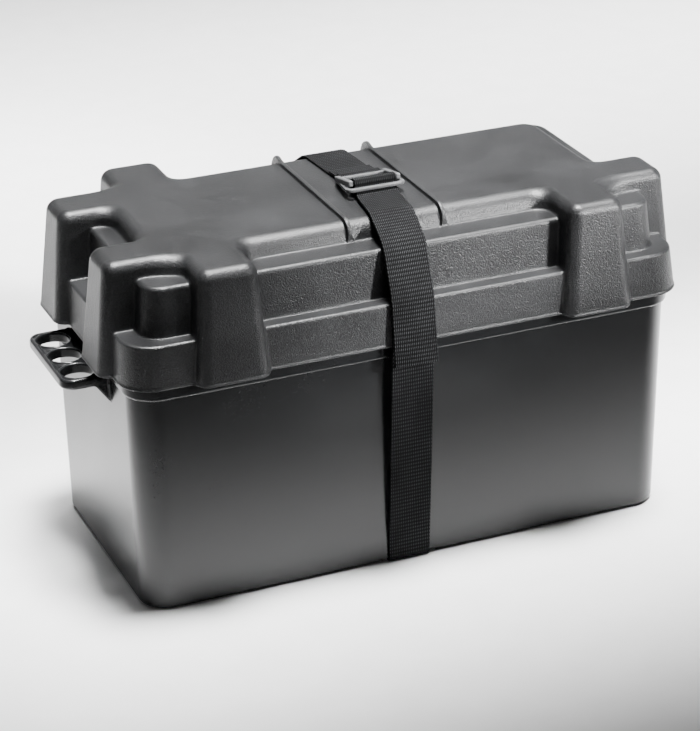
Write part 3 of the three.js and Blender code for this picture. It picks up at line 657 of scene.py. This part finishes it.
# ---- materials ----------------------------------------------------------------------------------
class Shader:
    """A material and short calls for its nodes."""

    def __init__(self, name):
        self.material = bpy.data.materials.new(name)
        self.material.use_nodes = True
        self.tree = self.material.node_tree
        self.surface = self.tree.nodes["Principled BSDF"]
        self.place = self.node("ShaderNodeTexCoord").outputs["Object"]

    def node(self, kind, **settings):
        made = self.tree.nodes.new(kind)
        for key, value in settings.items():
            setattr(made, key, value)
        return made

    def feed(self, socket, value):
        if isinstance(value, bpy.types.NodeSocket):
            self.tree.links.new(value, socket)
        else:
            socket.default_value = value

    def noise(self, scale, detail=3.0, roughness=0.55, where=None):
        made = self.node("ShaderNodeTexNoise")
        self.feed(made.inputs["Vector"], self.place if where is None else where)
        self.feed(made.inputs["Scale"], scale)
        self.feed(made.inputs["Detail"], detail)
        self.feed(made.inputs["Roughness"], roughness)
        return made.outputs["Fac"]

    def span(self, value, low, high, to_low, to_high):
        made = self.node("ShaderNodeMapRange")
        for key, number in zip(("Value", "From Min", "From Max", "To Min", "To Max"),
                               (value, low, high, to_low, to_high)):
            self.feed(made.inputs[key], number)
        return made.outputs["Result"]

    def mix(self, share, first, second):
        made = self.node("ShaderNodeMix", data_type="RGBA")
        self.feed(made.inputs[0], share)
        self.feed(made.inputs[6], (*first, 1) if isinstance(first, tuple) else first)
        self.feed(made.inputs[7], (*second, 1) if isinstance(second, tuple) else second)
        return made.outputs[2]

    def math(self, operation, first, second=0.0):
        made = self.node("ShaderNodeMath", operation=operation)
        self.feed(made.inputs[0], first)
        self.feed(made.inputs[1], second)
        return made.outputs[0]

    def bump(self, height, distance, under=None):
        made = self.node("ShaderNodeBump")
        self.feed(made.inputs["Height"], height)
        self.feed(made.inputs["Distance"], distance)
        self.feed(made.inputs["Strength"], 1.0)
        if under is not None:
            self.feed(made.inputs["Normal"], under)
        return made.outputs["Normal"]

    def finish(self, colour, roughness, metallic=0.0, normal=None, specular=0.5):
        self.feed(self.surface.inputs["Base Color"], colour)
        self.feed(self.surface.inputs["Roughness"], roughness)
        self.feed(self.surface.inputs["Metallic"], metallic)
        self.feed(self.surface.inputs["Specular IOR Level"], specular)
        if normal is not None:
            self.feed(self.surface.inputs["Normal"], normal)
        return self.material


def moulded(name, dark, light, rough, grain, depth, specular=0.5, swell=0.0, level=1.0, painted_edge_highlight=None):
    """Moulded plastic: stipple of about the given grain (per metre) with soft blotches of tone and sheen.
    The stipple fades to the share called level on faces that look up, and convex edges get a painted
    highlight towards the tone painted_edge_highlight."""
    s = Shader(name)
    stipple = s.noise(grain, 2.0, 0.6)
    blotch = s.noise(22.0, 3.0)
    tone = s.math("ADD", s.math("MULTIPLY", stipple, 0.6), s.math("MULTIPLY", blotch, 0.4))
    colour = s.mix(s.span(tone, 0.35, 0.65, 0, 1), dark, light)
    sheen = s.math("ADD", s.math("MULTIPLY", stipple, 0.5), s.math("MULTIPLY", blotch, 0.5))
    sheen = s.span(sheen, 0.35, 0.65, rough[0], rough[1])
    if painted_edge_highlight is not None:
        # Painted highlight: convex edges, found by pointiness, are lifted patchily towards a paler tone.
        edge_highlight_share = s.span(s.node("ShaderNodeNewGeometry").outputs["Pointiness"], 0.525, 0.59, 0, 0.8)
        colour = s.mix(s.math("MULTIPLY", edge_highlight_share, s.span(blotch, 0.3, 0.6, 0.3, 1.0)), colour, painted_edge_highlight)
    height = stipple
    if level < 1:
        upward = s.node("ShaderNodeSeparateXYZ")
        s.feed(upward.inputs[0], s.node("ShaderNodeTexCoord").outputs["Normal"])
        height = s.math("MULTIPLY", stipple, s.span(upward.outputs[2], 0.35, 0.9, 1.0, level))
    normal = s.bump(height, depth)
    if swell:
        normal = s.bump(s.noise(9.0, 1.0), swell, under=normal)
    return s.finish(colour, sheen, normal=normal, specular=specular)


def woven(name):
    """Black polyester webbing: rows of yarn tops painted paler as lit, with the gaps between them painted
    dark as shade.
    """
    s = Shader(name)
    along = s.node("ShaderNodeAttribute", attribute_name="along").outputs["Fac"]
    across = s.node("ShaderNodeAttribute", attribute_name="across").outputs["Fac"]
    row = s.math("MULTIPLY", along, 2 * math.pi / WEFT)
    rows = s.span(s.math("COSINE", row), -0.8, 0.9, 0.16, 1)
    yarns = s.span(s.math("COSINE", s.math("MULTIPLY", across, 2 * math.pi / WARP)), -0.2, 1, 0.02, 1)
    fuzz = s.noise(1400.0, 3.0)
    wear = s.noise(35.0, 3.0)
    # Painted light and shade: the weave's tops are lifted towards the paler tone and its gaps sink to near
    # black; the same pattern also drives the bump.
    yarn = s.math("MULTIPLY", rows, yarns)
    tone = s.math("MULTIPLY", yarn, s.span(s.math("ADD", fuzz, wear), 0.7, 1.3, 0.35, 1.3))
    colour = s.mix(tone, (0.0012, 0.0012, 0.0013), (0.042, 0.043, 0.045))
    normal = s.bump(s.math("ADD", yarn, s.math("MULTIPLY", fuzz, 0.4)), 0.00018)
    rough = s.span(fuzz, 0.3, 0.7, 0.75, 0.9)
    return s.finish(colour, rough, normal=normal, specular=0.08)


def metal(name, dark, light, rough, scale=400.0, stretch=(1, 1, 1), metallic=1.0, depth=0.00002):
    """Metal with a fine grain, drawn out by stretch, and soft stains."""
    s = Shader(name)
    mapping = s.node("ShaderNodeMapping")
    s.feed(mapping.inputs["Vector"], s.place)
    mapping.inputs["Scale"].default_value = stretch
    grain = s.noise(scale, 3.0, where=mapping.outputs["Vector"])
    stain = s.noise(60.0, 4.0)
    colour = s.mix(s.span(stain, 0.35, 0.65, 0, 1), dark, light)
    sheen = s.span(s.math("ADD", s.math("MULTIPLY", grain, 0.5), s.math("MULTIPLY", stain, 0.5)),
                   0.35, 0.65, rough[0], rough[1])
    return s.finish(colour, sheen, metallic=metallic, normal=s.bump(grain, depth))


def plate_paste(name, dark, light):
    """Pasted lead grid: a square mesh of wires with paste pressed between them."""
    s = Shader(name)
    split = s.node("ShaderNodeSeparateXYZ")
    s.feed(split.inputs[0], s.place)
    wires = []
    for axis, pitch in ((1, 0.011), (2, 0.0065)):
        wave = s.math("SINE", s.math("MULTIPLY", split.outputs[axis], 2 * math.pi / pitch))
        wires.append(s.span(wave, 0.86, 0.95, 0, 1))
    wire = s.math("MAXIMUM", wires[0], wires[1])
    crumb = s.noise(700.0, 4.0)
    paste = s.mix(s.span(crumb, 0.3, 0.7, 0, 1), dark, light)
    colour = s.mix(wire, paste, (0.22, 0.23, 0.24))
    height = s.math("ADD", s.math("MULTIPLY", wire, 0.8), s.math("MULTIPLY", crumb, 0.4))
    return s.finish(colour, s.span(crumb, 0.3, 0.7, 0.65, 0.9), metallic=0.1, normal=s.bump(height, 0.0003))


# The lid and tub carry a painted highlight along their convex edges, in the paler tone given last.
LID_PLASTIC = moulded("lid_plastic", (0.003, 0.0031, 0.0033), (0.021, 0.0214, 0.0225), (0.32, 0.44),
                      1000.0, 0.00048, specular=0.42, level=0.3, painted_edge_highlight=(0.075, 0.076, 0.078))
TUB_PLASTIC = moulded("tub_plastic", (0.006, 0.0063, 0.0067), (0.011, 0.0114, 0.012), (0.16, 0.24),
                      800.0, 0.000012, specular=0.38, swell=0.0006, painted_edge_highlight=(0.04, 0.041, 0.042))
WEBBING = woven("webbing")
BUCKLE_FINISH = moulded("buckle_plastic", (0.045, 0.046, 0.048), (0.11, 0.111, 0.114), (0.26, 0.40),
                        900.0, 0.00018)
CASE_PLASTIC = moulded("battery_plastic", (0.012, 0.012, 0.013), (0.02, 0.02, 0.021), (0.36, 0.5),
                       1200.0, 0.00008)
CAP_PLASTIC = moulded("cap_plastic", (0.50, 0.36, 0.03), (0.62, 0.46, 0.05), (0.35, 0.48), 900.0, 0.00005)
SEPARATOR_SHEET = moulded("separator_sheet", (0.62, 0.60, 0.55), (0.78, 0.76, 0.71), (0.75, 0.9),
                          1800.0, 0.0001)
LEAD = metal("lead", (0.18, 0.185, 0.19), (0.34, 0.345, 0.35), (0.42, 0.62), metallic=0.8, depth=0.0001)
STEEL = metal("steel", (0.5, 0.5, 0.5), (0.66, 0.66, 0.65), (0.22, 0.36), scale=900.0, stretch=(1, 1, 8))
POSITIVE_PASTE = plate_paste("positive_paste", (0.07, 0.03, 0.018), (0.13, 0.06, 0.035))
NEGATIVE_PASTE = plate_paste("negative_paste", (0.17, 0.175, 0.18), (0.27, 0.275, 0.28))


def grade(fine):
    return fine


def place(obj, material, slot, body, *nodes):
    """Give a piece its material, the body it rides and the nodes it stands for. The slot is not used."""
    obj.data.materials.clear()
    obj.data.materials.append(material)
    if nodes:
        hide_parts(*nodes)
    if body:
        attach(obj, body)
    return obj


def build_box():
    tub = field_object("box_tub", (-237, -103, -2), (237, 103, 178), grade(1.15), tub_field,
                       keep=grade(0.5))
    place(tub, TUB_PLASTIC, "tub", "tub", "box_base", "lug_left", "lug_right")
    lid = field_object("box_lid_shell", (-219, -117, LID_FOOT - 3), (219, 117, 259), grade(0.95),
                       make_lid, keep=grade(0.6))
    place(lid, LID_PLASTIC, "lid", "lid", "box_lid")


def build_strap():
    main, tail = make_straps()
    place(main, WEBBING, "webbing", None, "strap_under", "strap_front", "strap_rear", "strap_over_lid")
    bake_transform(main)
    place(tail, WEBBING, "webbing", "lid", "strap_tail")


def upper_ring_field(b):
    """Upper ring: two stout arms joined by a flat bar near their rear ends, leant back from the pin."""
    lean = math.radians(11)
    y, z = b.y - PIN[0], b.z - PIN[1]
    back = y * math.cos(lean) - z * math.sin(lean)
    up = y * math.sin(lean) + z * math.cos(lean)
    out = np.abs(b.x - BUCKLE_X)
    arm = rounded_box(np.abs(out - 17.9) - 1.85, np.abs(back - 10.6) - 13.2, 1.2)
    arm = overlap(arm, np.abs(up) - 2.2, 1.2)
    bar = rounded_box(out - 18.0, np.abs(back - 19.8) - 1.8, 0.8)
    bar = overlap(bar, np.abs(up) - 1.4, 0.8)
    return join(arm, bar, 0.8)


def build_buckle():
    lower = frame_ring("buckle_lower_ring", (BUCKLE_X - 0.4, -28.6, 258.3), reach=33.6, width=44.4, bar=3.2,
                       thick=2.7, radius=5.0, softness=0.5, lean=6.4, taper=0.2)
    place(lower, BUCKLE_FINISH, "buckle", "lid", "buckle_ring_lower")
    upper = field_object("buckle_upper_ring", (BUCKLE_X - 21, PIN[0] - 5, PIN[1] - 10),
                         (BUCKLE_X + 21, PIN[0] + 26, PIN[1] + 4), grade(0.22), upper_ring_field,
                         keep=0.5)
    place(upper, BUCKLE_FINISH, "buckle", "buckle", "buckle_ring_upper")
    low, high = BUCKLE_X - 17.1, BUCKLE_X + 17.1
    pin = turned("buckle_pin", [(0.0, low), (1.5, low), (1.5, high), (0.0, high)], (0, *PIN), 24, axis="X")
    place(pin, BUCKLE_FINISH, "buckle", "buckle")


def build_battery_box():
    case = field_object("battery_box", (-167, -88, 2), (167, 88, 192), grade(1.3), case_field,
                        keep=grade(0.35))
    place(case, CASE_PLASTIC, "battery_case", "tub", "battery_case")
    cover = field_object("battery_lid", (-167, -88, 187), (167, 88, 221), grade(0.9), cover_field,
                         keep=grade(0.5))
    place(cover, CASE_PLASTIC, "battery_case", "tub", "battery_cover")


def build_cells():
    for cell, middle in zip(CELLS, CELL_X):
        side = 1 if cell % 2 else -1
        node = f"positive_plates_{cell}"
        comb = plate_comb(f"positive_comb_{cell}", node, middle - 18.4, 5, 3.0, -side)
        place(comb, POSITIVE_PASTE, "positive_plate", "tub", node)
        node = f"negative_plates_{cell}"
        comb = plate_comb(f"negative_comb_{cell}", node, middle - 23.0, 6, 2.2, side)
        place(comb, NEGATIVE_PASTE, "negative_plate", "tub", node)
        node = f"separators_{cell}"
        place(separator_pack(f"separator_pack_{cell}", node), SEPARATOR_SHEET, "separator", "tub", node)


def build_cell_links():
    radius, edge = 4, 0.4
    for cell in CELLS[:-1]:
        low, high = frame_box(f"cell_link_{cell}")
        centre = (0, (low[1] + high[1]) / 2, (low[2] + high[2]) / 2)
        profile = [(0, low[0]), (radius - edge, low[0]), (radius, low[0] + edge),
                   (radius, high[0] - edge), (radius - edge, high[0]), (0, high[0])]
        link = turned(f"link_{cell}", profile, centre, 32, axis="X")
        place(link, LEAD, "lead", "tub", f"cell_link_{cell}")


def build_caps():
    for side, name in ((-1, "left"), (1, "right")):
        centre = side * 1.5 * CELL_PITCH
        low, high = (centre - 72, -19, CAP_FOOT - 12), (centre + 72, 19, CAP_TOP + 2)
        cap = field_object(f"gang_cap_{name}", low, high, grade(0.6), lambda b: cap_field(b, centre),
                           keep=grade(0.5))
        place(cap, CAP_PLASTIC, "vent_cap", f"cap_{name}", f"vent_cap_{name}")


def build_terminals():
    for side, pole in ((-1, "positive"), (1, "negative")):
        centre = (side * TERMINAL[0], TERMINAL[1])
        x, y = centre
        low, high = frame_box(f"terminal_{pole}")
        post = field_object(f"post_{pole}", (x - 13, y - 13, low[2] - 1), (x + 13, y + 13, high[2] + 1),
                            grade(0.32), lambda b: terminal_field(b, centre), keep=grade(0.5))
        place(post, LEAD, "lead", "tub", f"terminal_{pole}")
        foot = frame_box(f"washer_{pole}")[0][2]
        ring = turned(f"flat_washer_{pole}", WASHER_PROFILE, (x, y, foot))
        place(ring, STEEL, "steel", "tub", f"washer_{pole}")
        low, high = frame_box(f"wing_nut_{pole}")
        nut = field_object(f"wing_{pole}", (x - 18, y - 9, low[2] - 1), (x + 18, y + 9, high[2] + 1.5),
                           grade(0.4), lambda b: wing_nut_field(b, centre, low[2]), keep=grade(0.6))
        place(nut, STEEL, "steel", f"nut_{pole}", f"wing_nut_{pole}")


# ---- studio -------------------------------------------------------------------------------------
def area_light(name, location, target, size, power, spread, along=(1, 0, 0)):
    """A rectangular light aimed at target, its first side as near to the direction along as it can be."""
    light = bpy.data.lights.new(name, "AREA")
    light.shape, light.size, light.size_y = "RECTANGLE", size[0], size[1]
    light.energy, light.spread = power, math.radians(spread)
    obj = bpy.data.objects.new(name, light)
    bpy.context.scene.collection.objects.link(obj)
    back = (Vector(location) - Vector(target)).normalized()
    first = Vector(along)
    first = (first - back * first.dot(back)).normalized()
    turn = Matrix((first, back.cross(first), back)).transposed()
    obj.matrix_world = Matrix.Translation(location) @ turn.to_4x4()
    return obj


def build_world():
    world = bpy.data.worlds.new("studio")
    world.use_nodes = True
    background = world.node_tree.nodes["Background"]
    background.inputs["Color"].default_value = (1.0, 1.0, 1.0, 1)
    background.inputs["Strength"].default_value = 0.06
    bpy.context.scene.world = world


def build_backdrop():
    """A pale paper floor that sweeps up into a wall behind the box; its outline is in metres."""
    paper = Shader("paper")
    fibre = paper.noise(30.0, 4.0)
    colour = paper.mix(paper.span(fibre, 0.3, 0.7, 0, 1), (0.88, 0.88, 0.88), (0.92, 0.92, 0.92))
    paper.finish(colour, paper.span(fibre, 0.3, 0.7, 0.75, 0.85))
    front, bend, wall, top, half_width, radius = -1.6, 1.2, 2.0, 2.6, 3.0, 0.8
    sweep = [(front, 0.0)]
    for a in np.linspace(0, math.pi / 2, 20):
        sweep.append((bend + radius * math.sin(a), radius * (1 - math.cos(a))))
    sweep += [(wall, top)]
    points = [(x / MM, y / MM, z / MM) for y, z in sweep for x in (-half_width, half_width)]
    faces = [(2 * i, 2 * i + 1, 2 * i + 3, 2 * i + 2) for i in range(len(sweep) - 1)]
    floor = make_mesh("paper_sweep", points, faces)
    floor.data.materials.append(paper.material)


def build_lights():
    lights = [
        area_light("overhead", (0.32, -0.02, 1.25), (0.17, -0.01, 0), (1.1, 0.4), 8.5, 23),
        area_light("rear_floor", (0.15, 0.80, 1.70), (0.10, 0.80, 0), (2.8, 0.9), 40, 42),
        area_light("right_front", (1.05, -0.95, 0.72), (0.32, -0.03, 0.275), (0.7, 0.10), 1.6, 9,
                   along=(1, 1, 0)),
        area_light("rear_wall", (0.0, 0.9, 1.2), (0.2, 2.0, 1.15), (2.0, 0.8), 4, 120),
    ]


def build_camera():
    """The camera, turned to the right by yaw, down by pitch and over by roll."""
    yaw, pitch, roll = math.radians(22.50), math.radians(25.15), math.radians(-1.0)
    forward = Vector((math.sin(yaw) * math.cos(pitch), math.cos(yaw) * math.cos(pitch), -math.sin(pitch)))
    level = Vector((math.cos(yaw), -math.sin(yaw), 0))
    rise = level.cross(forward)
    right = math.cos(roll) * level + math.sin(roll) * rise
    up = -math.sin(roll) * level + math.cos(roll) * rise
    camera = bpy.data.cameras.new("camera")
    camera.sensor_width, camera.sensor_fit, camera.lens = 36.0, "HORIZONTAL", 135.36
    obj = bpy.data.objects.new("camera", camera)
    bpy.context.scene.collection.objects.link(obj)
    obj.location = (-0.6680, -1.5947, 0.9217)
    turn = Matrix((right, up, -forward)).transposed()
    obj.rotation_euler = turn.to_euler()
    bpy.context.scene.camera = obj


build_box()
build_strap()
build_buckle()
build_battery_box()
build_cells()
build_cell_links()
build_caps()
build_terminals()
build_world()
build_backdrop()
build_lights()
build_camera()
